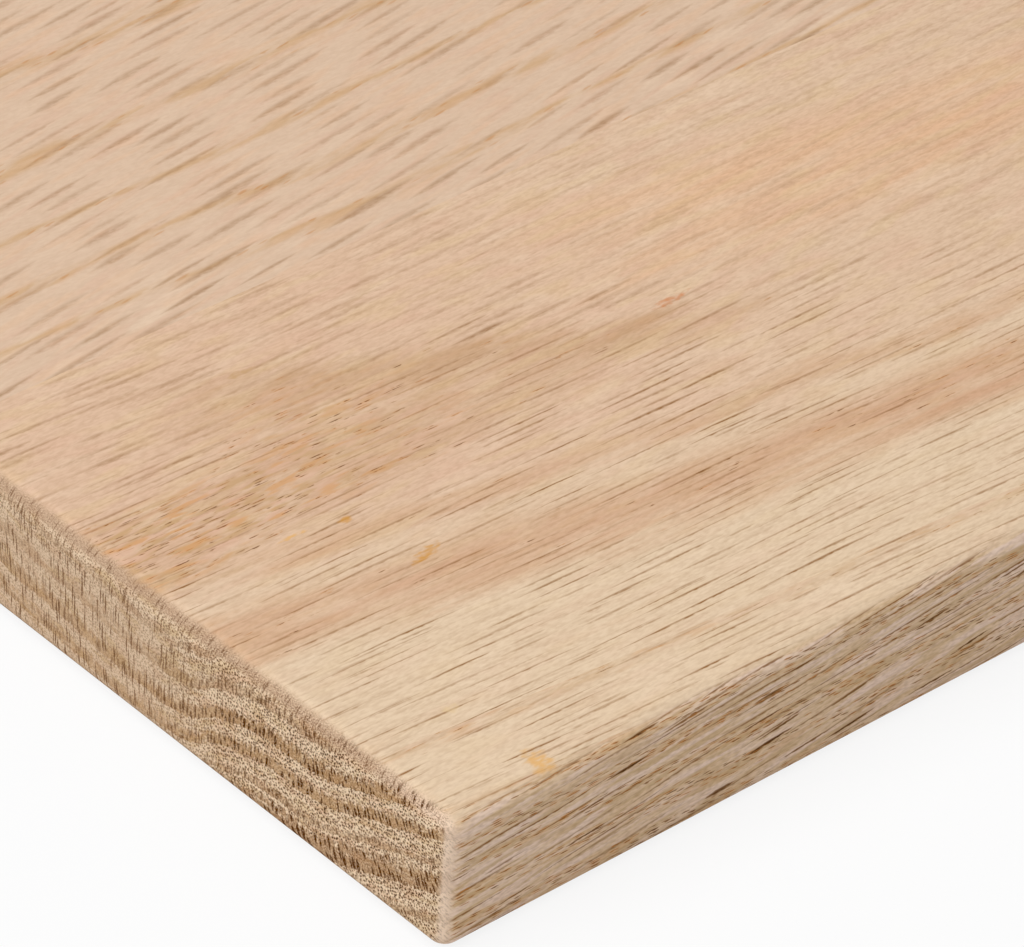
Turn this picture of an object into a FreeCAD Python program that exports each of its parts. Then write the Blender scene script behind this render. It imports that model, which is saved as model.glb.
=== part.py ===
"""Solid oak stair tread, edge-glued from two staves and eased along every outside edge.

Millimetres, +Z up. The tread lies on its underside: X runs along its length, the front edge
faces -Y, and the origin is the middle of the underside.
"""

import FreeCAD, Part
import os

import Sketcher

# Driving dimensions: alias, millimetres, what it measures
DIMENSIONS = (
    ("tread_length", 914.4, "Length along the grain, end to end"),
    ("tread_thickness", 25.4, "Planed thickness"),
    ("front_stave_width", 123.0, "Front edge to the glue line"),
    ("back_stave_width", 169.1, "Glue line to the back edge"),
    ("ease_radius", 3.2, "Round-over on every outside edge and corner"),
)
SHEET = "sizes"
STEP_FOLDER = "parts"
ON_PLANE = 1e-6

FRONT_EDGE_Y = f"-({SHEET}.front_stave_width + {SHEET}.back_stave_width) / 2"
GLUE_LINE_Y = f"({SHEET}.front_stave_width - {SHEET}.back_stave_width) / 2"


def size_sheet(doc):
    """A spreadsheet with one aliased cell for each driving dimension."""
    sheet = doc.addObject("Spreadsheet::Sheet", SHEET)
    for row, (alias, millimetres, meaning) in enumerate(DIMENSIONS, start=1):
        sheet.set(f"A{row}", meaning)
        sheet.set(f"B{row}", str(millimetres))
        sheet.setAlias(f"B{row}", alias)
    doc.recompute()
    return sheet


def origin_plane(body, role):
    """One of the body's own three origin planes."""
    return next(feature for feature in body.Origin.OriginFeatures if feature.Role == role)


def plan_sketch(body, sheet, width_alias):
    """The stave seen from above: a rectangle centred on the Y axis, its near side on the X axis."""
    half = sheet.tread_length / 2
    width = getattr(sheet, width_alias)
    corners = [
        FreeCAD.Vector(-half, 0, 0),
        FreeCAD.Vector(half, 0, 0),
        FreeCAD.Vector(half, width, 0),
        FreeCAD.Vector(-half, width, 0),
    ]
    sketch = body.newObject("Sketcher::SketchObject", f"{body.Name}_plan")
    sketch.AttachmentSupport = (origin_plane(body, "XY_Plane"), [""])
    sketch.MapMode = "FlatFace"
    near, right, far, left = [
        sketch.addGeometry(Part.LineSegment(start, end), False)
        for start, end in zip(corners, corners[1:] + corners[:1])
    ]
    start_point, end_point = 1, 2
    x_axis, y_axis = -1, -2
    for line, following in ((near, right), (right, far), (far, left), (left, near)):
        sketch.addConstraint(
            Sketcher.Constraint("Coincident", line, end_point, following, start_point)
        )
    sketch.addConstraint(Sketcher.Constraint("Horizontal", far))
    for line in (right, left):
        sketch.addConstraint(Sketcher.Constraint("Vertical", line))
    sketch.addConstraint(
        Sketcher.Constraint("Symmetric", near, start_point, near, end_point, y_axis)
    )
    sketch.addConstraint(Sketcher.Constraint("PointOnObject", near, start_point, x_axis))
    for name, kind, line, alias in (
        ("length", "DistanceX", near, "tread_length"),
        ("width", "DistanceY", right, width_alias),
    ):
        dimension = sketch.addConstraint(
            Sketcher.Constraint(kind, line, start_point, line, end_point, getattr(sheet, alias))
        )
        sketch.renameConstraint(dimension, name)
        sketch.setExpression(f"Constraints.{name}", f"{SHEET}.{alias}")
    return sketch


def outside_edges(shape, glue_y):
    """Names of the edges to ease: all but the four that border the glue face."""
    return [
        f"Edge{number}"
        for number, edge in enumerate(shape.Edges, start=1)
        if any(abs(vertex.Y - glue_y) > ON_PLANE for vertex in edge.Vertexes)
    ]


def stave(doc, sheet, label, width_alias, near_y, glue_on_near_side):
    """One board of the tread: planed to thickness, square at the glue face, eased elsewhere."""
    body = doc.addObject("PartDesign::Body", label)
    body.Label = label
    body.setExpression("Placement.Base.y", near_y)
    plan = plan_sketch(body, sheet, width_alias)
    board = body.newObject("PartDesign::Pad", f"{label}_board")
    board.Profile = plan
    board.setExpression("Length", f"{SHEET}.tread_thickness")
    plan.Visibility = False
    doc.recompute()
    glue_y = 0 if glue_on_near_side else getattr(sheet, width_alias)
    board_shape = board.Shape.copy()
    board_shape.Placement = FreeCAD.Placement()
    easing = body.newObject("PartDesign::Fillet", f"{label}_easing")
    easing.Base = (board, outside_edges(board_shape, glue_y))
    easing.setExpression("Radius", f"{SHEET}.ease_radius")
    doc.recompute()
    return body


def check(doc, bodies):
    """Stops the build if anything in the document failed or a stave isn't one sound solid."""
    for item in doc.Objects:
        failed = {"Invalid", "Error"} & set(item.State)
        if failed:
            raise RuntimeError(f"{item.Label} is {', '.join(sorted(failed))}")
    for body in bodies:
        shape = body.Shape
        if shape.isNull() or not shape.isValid() or len(shape.Solids) != 1:
            raise RuntimeError(f"{body.Label} is not one valid solid")


def main():
    doc = FreeCAD.newDocument("stair_tread")
    sheet = size_sheet(doc)
    staves = [
        stave(doc, sheet, "front_stave", "front_stave_width", FRONT_EDGE_Y, glue_on_near_side=False),
        stave(doc, sheet, "back_stave", "back_stave_width", GLUE_LINE_Y, glue_on_near_side=True),
    ]
    doc.recompute()
    check(doc, staves)
    os.makedirs(STEP_FOLDER, exist_ok=True)
    for body in staves:
        body.Shape.exportStep(os.path.join(STEP_FOLDER, f"{body.Label}.step"))
        box = body.Shape.BoundBox
        print(
            f"{body.Label}: {box.XLength:.2f} x {box.YLength:.2f} x {box.ZLength:.2f} mm,"
            f" y {box.YMin:.2f} to {box.YMax:.2f}, volume {body.Shape.Volume:.0f} mm3,"
            f" {len(body.Shape.Faces)} faces"
        )


main()
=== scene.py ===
import math
from dataclasses import dataclass

import bpy
from mathutils import Matrix, Vector


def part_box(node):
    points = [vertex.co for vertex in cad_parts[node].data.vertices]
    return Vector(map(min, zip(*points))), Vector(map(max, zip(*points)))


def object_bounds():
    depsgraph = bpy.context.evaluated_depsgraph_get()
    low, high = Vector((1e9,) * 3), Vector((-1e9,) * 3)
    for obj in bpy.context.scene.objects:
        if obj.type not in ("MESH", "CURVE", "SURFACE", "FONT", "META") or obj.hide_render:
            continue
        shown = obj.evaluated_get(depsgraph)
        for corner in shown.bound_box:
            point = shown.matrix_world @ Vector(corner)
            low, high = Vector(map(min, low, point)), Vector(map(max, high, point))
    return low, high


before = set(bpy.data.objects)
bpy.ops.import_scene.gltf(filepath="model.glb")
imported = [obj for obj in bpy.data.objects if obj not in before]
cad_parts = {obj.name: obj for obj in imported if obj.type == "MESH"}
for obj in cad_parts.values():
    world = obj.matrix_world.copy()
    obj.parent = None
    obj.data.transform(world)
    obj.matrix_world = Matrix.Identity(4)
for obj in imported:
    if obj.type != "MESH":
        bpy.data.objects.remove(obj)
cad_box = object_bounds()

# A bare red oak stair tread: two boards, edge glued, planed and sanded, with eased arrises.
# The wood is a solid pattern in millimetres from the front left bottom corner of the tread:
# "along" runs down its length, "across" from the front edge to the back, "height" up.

MM = 0.001
low_corner, high_corner = cad_box
LENGTH, _, THICKNESS = (high_corner - low_corner) / MM
GLUE_LINE = (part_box("front_stave")[1][1] - low_corner.y) / MM


# Sockets that do arithmetic


class Grain:
    """A socket in a stave's node tree. Arithmetic on it adds Math nodes."""

    def __init__(self, tree, socket=None):
        self.tree = tree
        self.socket = socket

    def node(self, kind, settings=None, sockets=None, output=0):
        """Adds a node, sets its settings, then the values or links of its sockets."""
        made = self.tree.nodes.new(kind)
        for name, value in (settings or {}).items():
            if name == "steps":
                set_steps(made.color_ramp, value)
            elif name == "points":
                set_points(made.mapping, value)
            else:
                setattr(made, name, value)
        for name, value in (sockets or {}).items():
            socket = find_socket(made.inputs, name)
            if isinstance(value, Grain):
                self.tree.links.new(value.socket, socket)
            else:
                socket.default_value = value
        return Grain(self.tree, find_socket(made.outputs, output) if made.outputs else None)

    def also(self, output):
        """Another output of the node that this socket belongs to."""
        return Grain(self.tree, find_socket(self.socket.node.outputs, output))

    def math(self, operation, *values):
        return self.node("ShaderNodeMath", {"operation": operation}, dict(enumerate(values)))

    def __add__(self, other):
        return self.math("ADD", self, other)

    __radd__ = __add__

    def __sub__(self, other):
        return self.math("SUBTRACT", self, other)

    def __rsub__(self, other):
        return self.math("SUBTRACT", other, self)

    def __mul__(self, other):
        return self.math("MULTIPLY", self, other)

    __rmul__ = __mul__

    def __truediv__(self, other):
        return self.math("DIVIDE", self, other)

    def __rtruediv__(self, other):
        return self.math("DIVIDE", other, self)

    def __abs__(self):
        return self.math("ABSOLUTE", self)

    def __floor__(self):
        return self.math("FLOOR", self)


def find_socket(sockets, key):
    """A socket by its number or by its identifier, which no other socket of the node shares."""
    if isinstance(key, int):
        return sockets[key]
    return next(socket for socket in sockets if socket.identifier == key)


def set_steps(ramp, steps):
    """Gives a colour ramp flat steps: each holds its colour from its place to the next one's."""
    ramp.interpolation = "CONSTANT"
    for number, (place, colour) in enumerate(steps):
        step = ramp.elements[number] if number < 2 else ramp.elements.new(place)
        step.position = place
        step.color = colour


def set_points(mapping, points):
    """Gives a float curve its points."""
    curve = mapping.curves[0]
    for number, (place, height) in enumerate(points):
        if number < 2:
            curve.points[number].location = (place, height)
        else:
            curve.points.new(place, height)
    mapping.update()


def srgb(red, green, blue):
    """A screen colour, 0 to 255, as the linear colour that a shader takes."""
    linear = [
        value / 12.92 if value <= 0.04045 else ((value + 0.055) / 1.055) ** 2.4
        for value in (red / 255, green / 255, blue / 255)
    ]
    return (*linear, 1.0)


def vector(along, across, height=0.0):
    return along.node("ShaderNodeCombineXYZ", {}, {"X": along, "Y": across, "Z": height})


def smooth(value, low, high):
    """0 at low, 1 at high, and a smooth step between. Low may be the larger of the two."""
    return value.node(
        "ShaderNodeMapRange",
        {"interpolation_type": "SMOOTHSTEP"},
        {"Value": value, "From Min": low, "From Max": high},
    )


def between(mask, least, most):
    """The first number where the mask is 0, and the second where it is 1."""
    return mask * (most - least) + least


def mix(mask, under, over):
    """One colour over another, as far as the mask says."""
    return mask.node(
        "ShaderNodeMix",
        {"data_type": "RGBA"},
        {"Factor_Float": mask, "A_Color": under, "B_Color": over},
        "Result_Color",
    )


def noise(place, detail=2.0, roughness=0.5):
    """Soft noise from 0 to 1 with one feature to each unit of the place."""
    return place.node(
        "ShaderNodeTexNoise",
        {"noise_dimensions": "3D"},
        {"Vector": place, "Scale": 1.0, "Detail": detail, "Roughness": roughness},
    )


def three_tints(place, detail=1.0, roughness=0.5):
    """Three noises from 0 to 1 that have nothing to do with each other."""
    return parts_of(noise(place, detail, roughness).also("Color"))


def parts_of(colour):
    return [
        colour.node("ShaderNodeSeparateXYZ", {}, {"Vector": colour}, axis) for axis in "XYZ"
    ]


def sine(value):
    return value.math("SINE", value)


def cosine(value):
    return value.math("COSINE", value)


def larger(first, second):
    return first.math("MAXIMUM", first, second)


def smaller(first, second):
    return first.math("MINIMUM", first, second)


def remainder(value):
    return value.math("FRACT", value)


# Marks in the wood

# How marks vary: the slimmest and the widest as shares of their width, the shortest as a share
# of their length and the faintest as a share of their depth
SLIMMEST, WIDEST = 0.65, 1.35
SHORTEST = 0.5
FAINTEST = 0.5

# The most cells by which a lane is shifted, and the factor that draws a second chance from the first
MOST_SHIFT = 13.0
SECOND_DRAW = 7.31


def spindles(along, across, lane, cell, length, width, seed, density=1.0, stray=0.5):
    """Soft marks that lie along the grain, at most one to each cell of a staggered grid.

    Lane and cell are the grid's pitch across and along the grain, and stray is the share of its lane
    that a mark may lie in. Marks are up to length long and about width wide, of random length and
    depth, darkest in the middle, and density is the share of the cells that have one.
    """
    lanes = across / lane
    lane_number = math.floor(lanes)
    shift = lanes.node(
        "ShaderNodeTexWhiteNoise",
        {"noise_dimensions": "2D"},
        {"Vector": vector(lane_number, seed)},
        "Value",
    )
    cells = along / cell + shift * MOST_SHIFT
    cell_number = math.floor(cells)
    chance = lanes.node(
        "ShaderNodeTexWhiteNoise",
        {"noise_dimensions": "3D"},
        {"Vector": vector(lane_number, cell_number, seed + 0.5)},
        "Color",
    )
    offset, stretch, depth = parts_of(chance)
    off_line = abs(lanes - lane_number - 0.5 - (offset - 0.5) * stray) * (2 * lane / width)
    off_line = off_line / between(offset, SLIMMEST, WIDEST)
    half_length = between(stretch, SHORTEST, 1.0) * (length / 2)
    off_middle = (cells - cell_number - 0.5) * cell / half_length
    fade = 1 - off_middle * off_middle
    shown = smooth(density - remainder(depth * SECOND_DRAW), 0.0, 0.08)
    return smooth(fade - off_line, 0.0, 0.9) * between(depth, FAINTEST, 1.0) * shown


# Colours of the walking face, and of the resin flecks on it

CREAM = srgb(229, 204, 174)
PEACH = srgb(223, 189, 161)
PINK = srgb(208, 163, 130)
TAN = srgb(201, 163, 127)
LINE_TAN = srgb(208, 165, 128)
ORANGE_TAN = srgb(228, 185, 149)
ROSE = srgb(220, 178, 152)
STRAW = srgb(224, 194, 148)
OLIVE = srgb(197, 159, 116)
AMBER_TINT = srgb(210, 158, 108)
PALE_FLECK = srgb(240, 215, 188)
ARRIS_PALE = srgb(231, 203, 174)
RAY_BROWN = srgb(146, 102, 58)
PORE_DARK = srgb(92, 52, 16)
PORE_AMBER = srgb(190, 122, 56)
FLECK_GOLD = srgb(208, 148, 62)
FLECK_RED = srgb(204, 132, 84)
FLECK_HONEY = srgb(226, 174, 104)
BACK_GROUND = srgb(220, 191, 165)
BACK_BAND = srgb(200, 158, 108)

# Colours of the front edge

EDGE_TAN = srgb(232, 203, 170)
EDGE_GREY = srgb(242, 216, 198)
EDGE_OLIVE = srgb(208, 176, 134)
EDGE_AMBER = srgb(214, 172, 122)
EDGE_BROWN = srgb(142, 96, 50)
EDGE_DARK = srgb(74, 40, 14)
# The vertical corner: pale from sanding, and paler still as a painted highlight
SANDED_CORNER_HIGHLIGHT = srgb(238, 212, 190)

# Colours of the sawn ends

END_PALE = srgb(240, 215, 184)
END_ROSE = srgb(208, 168, 134)
END_STRAW = srgb(200, 166, 108)
END_TAN = srgb(202, 173, 145)
END_GOLD = srgb(178, 136, 88)
END_RUST = srgb(144, 94, 46)
END_BROWN = srgb(88, 50, 16)
END_PORE = srgb(40, 16, 0)
HAIR_BROWN = srgb(116, 82, 54)
# Painted shade on the rounded arrises of the ends
ARRIS_SHADE_TAN = srgb(176, 144, 118)

# One growth ring's height across the front stave at the left end, in millimetres
RING_PROFILE = (
    (-40, 46), (0, 28), (11, 23.5), (22, 19.4), (32, 16.6), (43, 16.0), (53, 13.2), (62, 8.8),
    (72, 8.1), (83, 9.2), (106, 11.2), (130, 16), (160, 30),
)

# Widths of the front stave's rings, in millimetres: over the ring of that profile, under it,
# and from some depth under it on
WIDE_RING = 6.4
NARROW_RING = 4.8
DEEP_RING = 5.8
DEEP_UNDER_PROFILE = 11
PROFILE_RING = 0.8

# Late wood of the rings, from the top of the front stave down: its share of the ring, how dark, how red
FIRST_RING = -3
LATE_WOOD = (
    (0.25, 0.40, 0.5), (0.20, 0.50, 0.8), (0.34, 0.62, 0.9), (0.42, 1.00, 0.2), (0.42, 0.95, 0.1),
    (0.26, 0.55, 0.5), (0.72, 0.85, 1.0), (0.30, 0.50, 0.4), (0.40, 0.70, 0.5), (0.35, 0.80, 0.3),
)


# Where a spot lies in the wood


@dataclass
class Wood:
    """A spot in a stave: its place in millimetres from the tread's corner, and in the tree."""

    along: Grain
    across: Grain
    height: Grain
    facing_end: Grain
    facing_front: Grain
    ripple: Grain
    fray: Grain
    fibre: Grain
    radial: Grain
    growth: Grain


def board_place(root):
    """Millimetres along, across and up from the front left bottom corner of the tread."""
    spot = root.node("ShaderNodeTexCoord", {}, {}, "Object")
    placed = root.node(
        "ShaderNodeMapping",
        {"vector_type": "POINT"},
        {"Vector": spot, "Location": -low_corner / MM, "Scale": (1 / MM, 1 / MM, 1 / MM)},
    )
    return parts_of(placed)


def facing(root):
    """How far the surface faces the ends, and how far it faces the front."""
    sideways, backwards, _ = parts_of(root.node("ShaderNodeTexCoord", {}, {}, "Normal"))
    return abs(sideways), backwards * -1


def uneven(place, length, width, seed=0.0):
    """Noise from -0.5 to 0.5, its features so long along the grain and so wide across it."""
    along, across, height = place
    return noise(vector(along / length, across / width, height / width + seed), 1.0) - 0.5


def single_fibres(place):
    """The unevenness of single fibres."""
    return uneven(place, 1.4, 0.42)


def ring_height(across):
    """The height of one growth ring over the front stave's width."""
    first, last = RING_PROFILE[0][0], RING_PROFILE[-1][0]
    tallest = max(height for _, height in RING_PROFILE)
    points = [((place - first) / (last - first), height / tallest) for place, height in RING_PROFILE]
    curve = across.node(
        "ShaderNodeFloatCurve", {"points": points}, {"Value": (across - first) / (last - first)}
    )
    return curve * tallest


def front_stave_wood(root):
    """Flat sawn: fibres that bend aside away from the end, and rings that dip towards the back."""
    slope = 0.035
    bend, bend_length = 6.8, 100
    ring_drift, drift_length = 18, 620
    place = board_place(root)
    along, across, height = place
    wander = uneven(place, 140, 40)
    ripple = uneven(place, 35, 9)
    swell = uneven(place, 60, 11)
    fray = single_fibres(place)

    girth = across + height - THICKNESS
    aside = (1 - cosine(along / bend_length)) * smooth(across, 35, 95) * bend
    fibre = girth + along * slope - aside + wander * 5 + ripple * 0.9 + fray * 0.25
    lean = between(smooth(across, 45, 8), 0.04, 0.46)
    radial = fibre + (1 + lean) * (THICKNESS - height)

    drift = sine(along * (math.pi / drift_length)) * ring_drift
    under_profile = ring_height(across + drift + wander * 6) - height + swell * 1.1
    deep = larger(under_profile - DEEP_UNDER_PROFILE, 0.0)
    growth = under_profile / WIDE_RING + PROFILE_RING
    growth = growth + larger(under_profile, 0.0) * (1 / NARROW_RING - 1 / WIDE_RING)
    growth = growth - deep * (1 / NARROW_RING - 1 / DEEP_RING)
    return Wood(along, across, height, *facing(root), ripple, fray, fibre, radial, growth)


def back_stave_wood(root):
    """Fibres that run a little across the tread, and rings that arch over a line near its back."""
    slope = 0.15
    seed = 7
    crown, crown_drift, drift_length = 237.5, 26, 1400
    arch, ring_width = 396, 6.0
    dip_start, dip = 200, 0.00004
    ray_middle, ray_spread = 235, 0.005
    place = board_place(root)
    along, across, height = place
    wander = uneven(place, 150, 45, seed)
    ripple = uneven(place, 40, 10, seed)
    swell = uneven(place, 60, 11, seed)
    fray = single_fibres(place)

    fibre = across + THICKNESS - height - along * slope + wander * 5 + ripple + fray * 0.3
    radial = fibre + (height - THICKNESS) * ((across - ray_middle) * ray_spread + 1)

    drift = sine(along * (math.pi / drift_length))
    from_crown = across - drift * drift * crown_drift - crown + wander * 8
    past_start = larger(along - dip_start, 0.0)
    arched = from_crown * from_crown / arch + height + past_start * past_start * dip
    growth = (arched + swell * 1.6) / ring_width
    return Wood(along, across, height, *facing(root), ripple, fray, fibre, radial, growth)


def inside(wood):
    """1 on the long faces, falling to 0 at the very ends, where sanding has closed the grain."""
    return smooth(from_end(wood), 0.3, 2.4)


def from_end(wood):
    """Millimetres from the nearer end of the tread."""
    return smaller(wood.along, LENGTH - wood.along)


def sawn_through(wood):
    """1 where the saw cut across the grain, up to the middle of the arris."""
    return smooth(wood.facing_end + wood.ripple * 0.2, 0.2, 0.75)


# The sawn ends


def late_wood(wood, ragged, patchy):
    """How much of a spot on the end is late wood, and how red that ring is."""
    growth = wood.growth + (ragged - 0.5) * 0.3 + (patchy - 0.5) * 0.25
    rings = len(LATE_WOOD)
    steps = [(number / rings, (*ring, 1.0)) for number, ring in enumerate(LATE_WOOD)]
    ring_kind = growth.node(
        "ShaderNodeValToRGB", {"steps": steps}, {"Fac": (growth - FIRST_RING) / rings}, "Color"
    )
    share, darkness, redness = parts_of(ring_kind)
    to_next_ring = 1 - remainder(growth)
    late = smooth(share * (ragged + 0.5) - to_next_ring, -0.12, 0.1) * darkness
    return late * smooth(patchy, 0.22, 0.45), redness


def from_pore(across, rise, grit):
    """Distance from the nearest pore on the end, as a share of the pores' pitch."""
    dots = across.node(
        "ShaderNodeTexVoronoi",
        {"voronoi_dimensions": "2D", "feature": "F1"},
        {"Vector": vector(across / 0.52, rise / 0.54), "Scale": 1.0, "Randomness": 1.0},
        "Distance",
    )
    chance = parts_of(dots.also("Color"))[0]
    return dots + chance * 0.2 + (grit - 0.5) * 0.3


def end_grain(wood, seed, quiet):
    """Sawn end: pale early wood dotted with pores, late wood combed by dark rays, and painted shade on
    its arrises.
    """
    across, radial = wood.across, wood.radial
    rise = wood.height + from_end(wood)
    ragged = noise(vector(radial / 0.6, rise / 2.6, seed), 1.0)
    grit = noise(vector(across / 0.27, rise / 0.3, seed + 7.0), 1.0)
    rosy, straw, patchy = three_tints(vector(across / 6, wood.growth * 3, seed + 3.0), 2.0, 0.65)
    late, redness = late_wood(wood, ragged, patchy)
    late = late * (1 - quiet * 0.4)
    rounded = smooth(wood.facing_end, 0.99, 0.8)
    # The front corner: marks fade here under a painted highlight
    corner = smooth(wood.facing_front, 0.15, 0.5)

    colour = mix(smooth(rosy, 0.45, 0.65) * 0.6, END_PALE, END_ROSE)
    colour = mix(smooth(straw, 0.5, 0.65) * between(quiet, 0.3, 0.7), colour, END_STRAW)
    colour = mix(quiet * 0.6, colour, END_TAN)
    colour = mix(late * 0.8, colour, mix(redness * 0.5, END_GOLD, END_RUST))
    # The end's rounded arrises: a painted shade of tan, and a painted highlight near the front corner
    corner_highlight = larger(corner, smooth(across, 22, 2) * 0.7)
    colour = mix(rounded * 0.75, colour, mix(corner_highlight, ARRIS_SHADE_TAN, SANDED_CORNER_HIGHLIGHT))

    hairs = spindles(
        rise, radial + 0.3, lane=0.6, cell=7.0, length=7.0, width=0.5, seed=seed + 13.0, density=0.8
    )
    hairs = hairs * between(smooth(patchy, 0.4, 0.6), 0.5, 1.0) * (1 - corner * 0.7)
    hairs = smooth(hairs * smooth(wood.facing_end, 0.2, 0.6), 0.0, 0.6)
    colour = mix(hairs * between(larger(quiet, rounded * 0.8), 0.3, 0.9), colour, HAIR_BROWN)
    teeth = spindles(
        rise, radial, lane=0.84, cell=3.0, length=3.8, width=0.74, seed=seed + 11.0, density=0.95
    )
    teeth = smooth(teeth, 0.0, 0.45) * smaller(late * 1.35, 1.0)
    colour = mix(teeth * (1 - corner * 0.8) * (1 - quiet * 0.5), colour, END_BROWN)
    dark_grit = smooth(grit, 0.5, 0.68) * between(quiet, 0.6, 0.3) * (1 - corner * 0.7)
    colour = mix(dark_grit, colour, END_BROWN)
    colour = mix(smooth(grit, 0.46, 0.3) * between(quiet, 0.5, 0.2), colour, END_PALE)

    open_grain = (1 - late * 0.9) * (1 - quiet * 0.7) * (1 - rounded * 0.75)
    reach = from_pore(across, rise, grit)
    colour = mix(smooth(reach, 0.56, 0.32) * open_grain * 0.65, colour, END_RUST)
    pores = smooth(reach, 0.38, 0.22) * open_grain * between(smooth(rosy, 0.3, 0.55), 0.6, 1.0)
    colour = mix(pores, colour, END_PORE)
    return colour, pores * -0.4


# The front stave's walking face

# The pink band's line across the tread: where it ends up, how much farther back it starts, and
# the length in which that falls to about a third
PINK_END = 12
PINK_FALL = 41.5
PINK_RUN = 205

# The back of the tan tongue: where it starts, its slope, and where it stops coming forward
TONGUE_START = 126.7
TONGUE_SLOPE = 0.42
TONGUE_STOP = 48.0

# The orange band far along: its line at the left end, and its slope
FAR_START = 112
FAR_SLOPE = 0.11

# Flecks of resin on the front stave: along, across, length, width, slant, colour
FLECKS = (
    (40.9, 52.3, 6.5, 2.2, 0.3, FLECK_GOLD),
    (36.5, 66.5, 3.0, 1.8, 0.0, FLECK_GOLD),
    (27.0, 68.2, 6.0, 0.9, 0.0, FLECK_HONEY),
    (18.4, 21.2, 2.4, 2.4, 0.0, STRAW),
    (20.6, 3.0, 4.4, 7.0, 0.0, FLECK_HONEY),
    (117.5, 79.7, 8.0, 1.6, 0.05, FLECK_RED),
    (48.5, 106.0, 6.0, 1.6, 0.0, OLIVE),
)


@dataclass
class Bands:
    """The growth bands of the front stave's face at a spot, each 0 to 1 but for from_back and streak.

    From_back is in millimetres in front of the tan tongue's back line, and streak runs from -0.5 to 0.5.
    """

    streak: Grain
    pink: Grain
    behind: Grain
    line_behind: Grain
    from_back: Grain
    tongue: Grain
    far: Grain
    ring_line: Grain


def front_stave_bands(wood):
    along, across = wood.along, wood.across
    streak = noise(vector(along / 40, wood.fibre / 2.4, wood.height / 3), 2.0) - 0.5
    pink_line = along.math("EXPONENT", along / -PINK_RUN) * PINK_FALL + PINK_END + wood.ripple * 5
    from_line = across - pink_line + streak * 7
    pink = smooth(from_line, -10, -1) * smooth(from_line, 11, 3)
    pink = pink * between(smooth(along, 0, 90), 0.65, 0.75)
    behind = smooth(from_line, 0, 26)
    line_behind = smooth(abs(from_line - 16), 3.4, 1.0) * smooth(along, 0, 30)

    tongue_back = larger(along * -TONGUE_SLOPE + TONGUE_START, TONGUE_STOP)
    from_back = tongue_back - across + streak * 9
    streaked = across + streak * 10
    tongue = smooth(from_back, -2, 5) * smooth(streaked, 68, 75)
    tongue = tongue * larger(smooth(along + streak * 20, 24, 50), smooth(streaked, 91, 83))

    from_far_line = abs(across - (FAR_START - along * FAR_SLOPE) + streak * 14)
    far = smooth(along + streak * 50, 95, 150) * smooth(from_far_line, 19, 7)
    ring_line = smooth(remainder(wood.growth), 0.22, 0.05) * smooth(across, 45, 30)
    return Bands(streak, pink, behind, line_behind, from_back, tongue, far, ring_line)


def front_stave_ground(wood, bands):
    """The face's colours before any marks."""
    streak = bands.streak
    rosy, straw, pale = three_tints(vector(wood.along / 13, wood.fibre / 3.2, wood.height / 3 + 4))
    tan = bands.tongue * between(smooth(bands.from_back, 14, 2), 0.55, 0.95)
    colour = mix(bands.behind * (1 - smooth(wood.along, 60, 160) * 0.35), CREAM, PEACH)
    colour = mix(bands.pink * (streak * 1.2 + 0.95), colour, PINK)
    colour = mix(smaller(tan + bands.ring_line * 0.25, 1.0) * (streak * 1.4 + 0.8), colour, TAN)
    colour = mix(bands.line_behind * (streak + 0.4), colour, LINE_TAN)
    colour = mix(bands.far * (streak * 1.6 + 0.6), colour, ORANGE_TAN)
    blotch = between(bands.behind, 0.12, 0.32)
    colour = mix(smooth(rosy, 0.48, 0.7) * blotch, colour, ROSE)
    colour = mix(smooth(straw, 0.48, 0.7) * blotch, colour, STRAW)
    colour = mix(smooth(pale, 0.5, 0.7) * 0.2, colour, PALE_FLECK)
    colour = mix((1 - inside(wood)) * 0.5, colour, ARRIS_PALE)
    return mix(smooth(wood.fray, -0.25, 0.3) * 0.2, colour, RAY_BROWN)


def front_stave_rays(wood, bands, blush, colour):
    """Long thin rays on the cream wood, wider and fainter on the calm wood behind the tongue."""
    along, across, fibre = wood.along, wood.across, wood.fibre
    calm = larger(smooth(bands.from_back, 6, -12), smooth(across, 88, 98) * 0.8)
    calm = calm * smooth(along, -30, 15)
    rays = spindles(
        along, fibre, lane=1.6, cell=34.0, length=34.0, width=between(calm, 0.62, 1.72),
        seed=11.0, density=0.97, stray=0.3,
    )
    rays = rays * between(smooth(blush, 0.36, 0.6), 0.6, 1.0)
    short_rays = spindles(
        along, fibre, lane=2.0, cell=13.0, length=12.5, width=0.7, seed=23.0, density=0.4, stray=0.9
    )
    faint = smooth(noise(vector(along / 24, fibre / 0.6, 3.0), 0.0), 0.5, 0.75) * 0.12
    marks = larger(larger(rays, short_rays * 0.5), faint) * inside(wood) * (wood.fray + 1)
    marks = marks * (1 - smooth(along, 80, 150) * 0.35)
    return mix(marks * (1 - calm * 0.65) * (1 - bands.tongue * 0.35), colour, RAY_BROWN)


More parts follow.
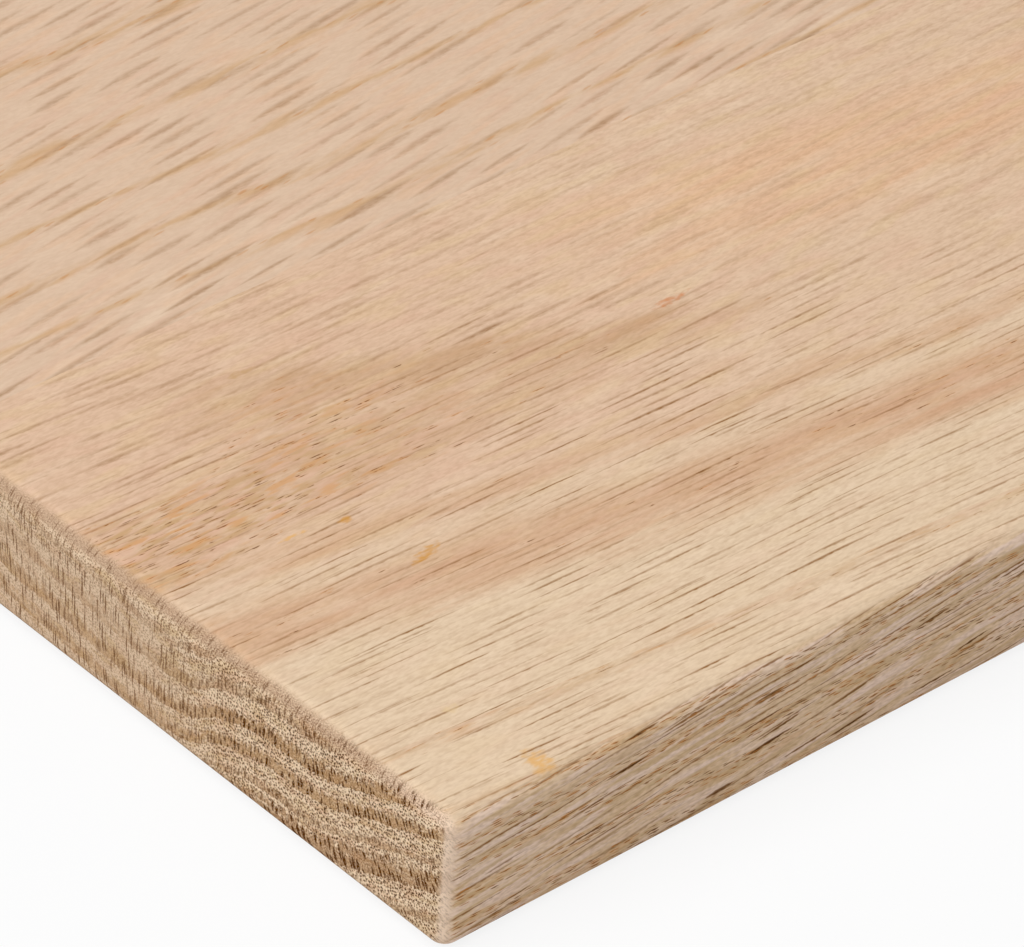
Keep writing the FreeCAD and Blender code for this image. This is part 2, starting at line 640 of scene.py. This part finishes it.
def front_stave_pores(wood, bands, spots, colour):
    """Open pores in clusters, with amber and olive wood about them, most of all on the tongue."""
    amber, olive, blush = spots
    on_tongue = smooth(wood.along, 80, 25) * smooth(wood.across, 104, 84)
    open_grain = bands.ring_line * 0.25 + bands.pink * 0.14 + bands.line_behind * 0.08
    open_grain = smaller(open_grain + bands.tongue * between(on_tongue, 0.1, 0.72), 0.8)
    colour = mix(smooth(olive, 0.48, 0.64) * open_grain * 1.2, colour, OLIVE)
    colour = mix(smooth(blush, 0.5, 0.66) * open_grain * 0.8, colour, ROSE)
    colour = mix(smooth(amber, 0.54, 0.7) * open_grain * 1.1, colour, AMBER_TINT)
    clustered = open_grain * between(smooth(olive, 0.38, 0.58), 0.1, 1.5)
    pores = spindles(
        wood.along, wood.fibre, lane=0.5, cell=6.0, length=6.0, width=0.36,
        seed=37.0, density=clustered, stray=0.6,
    )
    pores = pores * inside(wood) * smooth(wood.fray, -0.2, 0.1)
    rim = mix(smooth(amber, 0.4, 0.6), RAY_BROWN, PORE_AMBER)
    colour = mix(smooth(pores, 0.0, 0.5) * 0.55, colour, rim)
    return mix(smooth(pores, 0.4, 0.95) * 0.8, colour, PORE_DARK)


def front_stave_flecks(wood, colour):
    """Crumbly flecks of resin."""
    along, across = wood.along, wood.across
    crumble = noise(vector(along / 1.6, across / 0.8), 1.0) - 0.45
    for middle, line, length, width, slant, tone in FLECKS:
        aside = (along - middle) / (length / 2)
        off_line = (across - line - (along - middle) * slant) / (width / 2)
        fleck = smooth(aside * aside + off_line * off_line + crumble * 4, 1.7, -0.4)
        colour = mix(fleck * 0.8, colour, tone)
    return colour


def front_stave_face(wood):
    """Pale, flat sawn, with a pink growth band along it and a tan tongue behind that."""
    bands = front_stave_bands(wood)
    spots = three_tints(vector(wood.along / 7, wood.fibre / 1.3, wood.height / 3 + 5))
    colour = front_stave_ground(wood, bands)
    colour = front_stave_rays(wood, bands, spots[2], colour)
    colour = front_stave_pores(wood, bands, spots, colour)
    return front_stave_flecks(wood, colour), sanded(wood)


# The front edge, and the back stave's walking face


def front_stave_edge(wood):
    """The front edge: rows of open pores along the growth rings, with grey wood between them, and a
    painted highlight at its corners.
    """
    along, fray = wood.along, wood.fray
    clear = inside(wood)
    ring = remainder(wood.growth)
    row = smooth(ring, 0.0, 0.06) * smooth(ring, 0.6, 0.3)
    lift = wood.height + wood.across + fray * 0.4
    climbing = lift - along * 0.1 + wood.ripple * 3
    dull, grey, amber = three_tints(vector(along / 16, climbing / 1.4, 4.0), 2.0)
    colour = mix(smooth(grey, 0.42, 0.58) * between(row, 0.9, 0.5), EDGE_TAN, EDGE_GREY)
    colour = mix(smooth(dull, 0.48, 0.6) * 0.65, colour, EDGE_OLIVE)
    colour = mix(smooth(amber, 0.48, 0.62) * between(row, 0.1, 0.5), colour, EDGE_AMBER)
    # Painted highlight: the vertical corners at the ends are paler, partly from sanding and partly as
    # light catching the rounding
    colour = mix((1 - clear) * smooth(grey, 0.35, 0.5) * 0.8, colour, SANDED_CORNER_HIGHLIGHT)
    colour = mix(smooth(fray, -0.2, 0.3) * 0.3, colour, EDGE_BROWN)

    depth = (fray + 1) * clear
    streaks = spindles(
        along, climbing, lane=1.4, cell=36.0, length=36.0, width=0.62, seed=71.0, density=0.85
    )
    colour = mix(streaks * depth * 0.95, colour, EDGE_BROWN)
    slits = spindles(
        along, climbing, lane=3.2, cell=18.0, length=14.0, width=0.72, seed=73.0, density=0.44, stray=0.9
    )
    slits = slits * depth
    colour = mix(smooth(slits, 0.0, 0.4) * 0.85, colour, EDGE_BROWN)
    colour = mix(smooth(slits, 0.3, 0.95) * 0.85, colour, EDGE_DARK)
    pores = spindles(
        along, lift + wood.ripple * 2, lane=0.42, cell=4.0, length=4.0, width=0.34,
        seed=79.0, density=between(row, 0.05, 0.85),
    )
    pores = pores * depth
    rim = mix(smooth(amber, 0.4, 0.55), EDGE_BROWN, PORE_AMBER)
    colour = mix(smooth(pores, 0.0, 0.5) * 0.8, colour, rim)
    colour = mix(smooth(pores, 0.55, 1.0) * 0.7, colour, EDGE_DARK)
    return colour, sanded(wood)


def back_stave_face(wood):
    """Tan and coarser, its grain running slightly across the tread."""
    along, across, fibre, fray = wood.along, wood.across, wood.fibre, wood.fray
    clear = inside(wood)
    streak = noise(vector(along / 40, across / 3.0, wood.height / 3), 2.0) - 0.5
    rosy, straw, pale = three_tints(vector(along / 12, fibre / 2.0, wood.height / 3 + 4))
    off_ring = abs(remainder(wood.growth + streak * 0.3) - 0.5)
    band = smooth(off_ring, 0.36, 0.5)
    beside_glue = smooth(across, GLUE_LINE + 18, GLUE_LINE + 4)
    colour = mix(smooth(rosy, 0.48, 0.7) * 0.3, BACK_GROUND, ROSE)
    colour = mix(smooth(straw, 0.48, 0.7) * 0.3, colour, ORANGE_TAN)
    colour = mix(smooth(pale, 0.5, 0.7) * between(beside_glue, 0.12, 0.32), colour, PALE_FLECK)
    colour = mix(band * between(smooth(straw, 0.38, 0.56), 0.16, 0.56), colour, BACK_BAND)
    colour = mix((1 - clear) * 0.5, colour, ARRIS_PALE)
    colour = mix(smooth(fray, -0.3, 0.3) * 0.12, colour, RAY_BROWN)

    depth = (fray + 1) * clear * between(beside_glue, 1.0, 1.35)
    rays = spindles(
        along, fibre, lane=3.0, cell=26.0, length=28.0, width=1.9, seed=41.0, density=0.97, stray=0.4
    )
    colour = mix(rays * depth * 0.4, colour, RAY_BROWN)
    pores = spindles(
        along, fibre, lane=0.7, cell=4.8, length=4.8, width=0.7, seed=61.0, density=band * 0.3
    )
    colour = mix(pores * clear * 0.5, colour, PORE_AMBER)
    return colour, sanded(wood)


# The staves' materials

SANDED_ROUGHNESS = 0.62
FACE_SHEEN = 0.05
NO_SHEEN = 0.0
RELIEF = 0.1 * MM
RELIEF_STRENGTH = 0.6


def sanded(wood):
    """Relief of a planed and sanded face: the fibres, a little raised."""
    return noise(vector(wood.along / 22, wood.across / 0.5, wood.height / 0.5), 0.0) * 0.4


def oak_shader(root, colour, relief, sheen):
    """Bare sanded oak: a dull sheen, or none, and open pores."""
    bumped = root.node(
        "ShaderNodeBump", {}, {"Strength": RELIEF_STRENGTH, "Distance": RELIEF, "Height": relief}
    )
    return root.node(
        "ShaderNodeBsdfPrincipled",
        {},
        {
            "Base Color": colour,
            "Roughness": SANDED_ROUGHNESS,
            "Normal": bumped,
            "Specular IOR Level": sheen,
        },
    )


def new_material(name):
    material = bpy.data.materials.new(name)
    material.use_nodes = True
    material.node_tree.nodes.clear()
    return material, Grain(material.node_tree)


def mix_surfaces(mask, under, over):
    return mask.node("ShaderNodeMixShader", {}, {0: mask, 1: under, 2: over})


def front_stave_oak():
    material, root = new_material("front_stave_oak")
    wood = front_stave_wood(root)
    quiet = smooth(wood.across, 42, 75) * between(smooth(wood.height, 23, 18), 0.6, 1.0)
    face = oak_shader(root, *front_stave_face(wood), FACE_SHEEN)
    edge = oak_shader(root, *front_stave_edge(wood), NO_SHEEN)
    end = oak_shader(root, *end_grain(wood, 2.0, quiet), NO_SHEEN)
    long_sides = mix_surfaces(smooth(wood.facing_front, 0.45, 0.8), face, edge)
    surface = mix_surfaces(sawn_through(wood), long_sides, end)
    root.node("ShaderNodeOutputMaterial", {}, {"Surface": surface})
    return material


def back_stave_oak():
    material, root = new_material("back_stave_oak")
    wood = back_stave_wood(root)
    quiet = smooth(wood.height, 30, 10) * 0.6
    face = oak_shader(root, *back_stave_face(wood), FACE_SHEEN)
    end = oak_shader(root, *end_grain(wood, 9.0, quiet), NO_SHEEN)
    surface = mix_surfaces(sawn_through(wood), face, end)
    root.node("ShaderNodeOutputMaterial", {}, {"Surface": surface})
    return material


for node_name, oak in (("front_stave", front_stave_oak()), ("back_stave", back_stave_oak())):
    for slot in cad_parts[node_name].material_slots:
        slot.material = oak


# Floor, light and camera

FLOOR_SIZE = 8.0
FLOOR_DROP = 0.0002
FLOOR_GLOW = 0.86
SURROUND = 0.3
LAMP_SIZE = 3.0
LAMP_POWER = 84.0
LAMP_PLACE = Vector((-1.6, 0.05, 2.5))
LAMP_AIM = Vector((-0.3, 0, 0))
WHITE = (1, 1, 1, 1)


def white_floor():
    """A white floor that shows almost pure white to the camera and keeps the tread's soft shadow."""
    half = FLOOR_SIZE / 2
    corners = [(-half, -half), (half, -half), (half, half), (-half, half)]
    mesh = bpy.data.meshes.new("floor")
    mesh.from_pydata([(x, y, -FLOOR_DROP) for x, y in corners], [], [(0, 1, 2, 3)])
    floor = bpy.data.objects.new("floor", mesh)
    bpy.context.scene.collection.objects.link(floor)
    material, root = new_material("white_floor")
    shadowed = root.node("ShaderNodeBsdfDiffuse", {}, {"Color": srgb(232, 232, 232)})
    white = root.node("ShaderNodeEmission", {}, {"Color": WHITE, "Strength": 1.0})
    surface = mix_surfaces(seen_directly(root) * FLOOR_GLOW, shadowed, white)
    root.node("ShaderNodeOutputMaterial", {}, {"Surface": surface})
    mesh.materials.append(material)


def seen_directly(root):
    """1 for what the camera sees, straight, in a gloss or through glass, and 0 for light on the tread."""
    straight, in_gloss, through_glass = [
        root.node("ShaderNodeLightPath", {}, {}, ray)
        for ray in ("Is Camera Ray", "Is Glossy Ray", "Is Transmission Ray")
    ]
    return smaller(straight + in_gloss + through_glass, 1.0)


def studio_light():
    """Even white surroundings, and one large soft lamp overhead."""
    world = bpy.data.worlds.new("studio")
    bpy.context.scene.world = world
    world.use_nodes = True
    world.node_tree.nodes.clear()
    root = Grain(world.node_tree)
    strength = between(seen_directly(root), SURROUND, 1.0)
    background = root.node("ShaderNodeBackground", {}, {"Color": WHITE, "Strength": strength})
    root.node("ShaderNodeOutputWorld", {}, {"Surface": background})
    lamp = bpy.data.lights.new("overhead", "AREA")
    lamp.shape = "SQUARE"
    lamp.size = LAMP_SIZE
    lamp.energy = LAMP_POWER
    holder = bpy.data.objects.new("overhead", lamp)
    holder.location = LAMP_PLACE
    holder.rotation_euler = (LAMP_AIM - LAMP_PLACE).to_track_quat("-Z", "Y").to_euler()
    bpy.context.scene.collection.objects.link(holder)


def photo_camera():
    """A long lens on the front left corner, rolled a little."""
    azimuth, elevation, roll = (math.radians(turn) for turn in (-44.407, 36.332, 4.449))
    distance = 1149.26
    target = Vector((65.425, 59.847, THICKNESS))
    focal_pixels, image_width, sensor_width = 7328.5, 1024, 36.0
    nearest, farthest = 0.05, 50.0
    back = Vector(
        (
            math.sin(azimuth) * math.cos(elevation),
            -math.cos(azimuth) * math.cos(elevation),
            math.sin(elevation),
        )
    )
    level = Vector((math.cos(azimuth), math.sin(azimuth), 0))
    upright = back.cross(level)
    right = math.cos(roll) * level + math.sin(roll) * upright
    up = math.cos(roll) * upright - math.sin(roll) * level
    place = low_corner + (target + back * distance) * MM
    lens = bpy.data.cameras.new("photo_camera")
    lens.sensor_width = sensor_width
    lens.lens = focal_pixels / image_width * sensor_width
    lens.clip_start = nearest
    lens.clip_end = farthest
    camera = bpy.data.objects.new("photo_camera", lens)
    camera.matrix_world = Matrix.Translation(place) @ Matrix((right, up, back)).transposed().to_4x4()
    bpy.context.scene.collection.objects.link(camera)
    bpy.context.scene.camera = camera


white_floor()
studio_light()
photo_camera()
bpy.context.scene.view_settings.view_transform = "Standard"
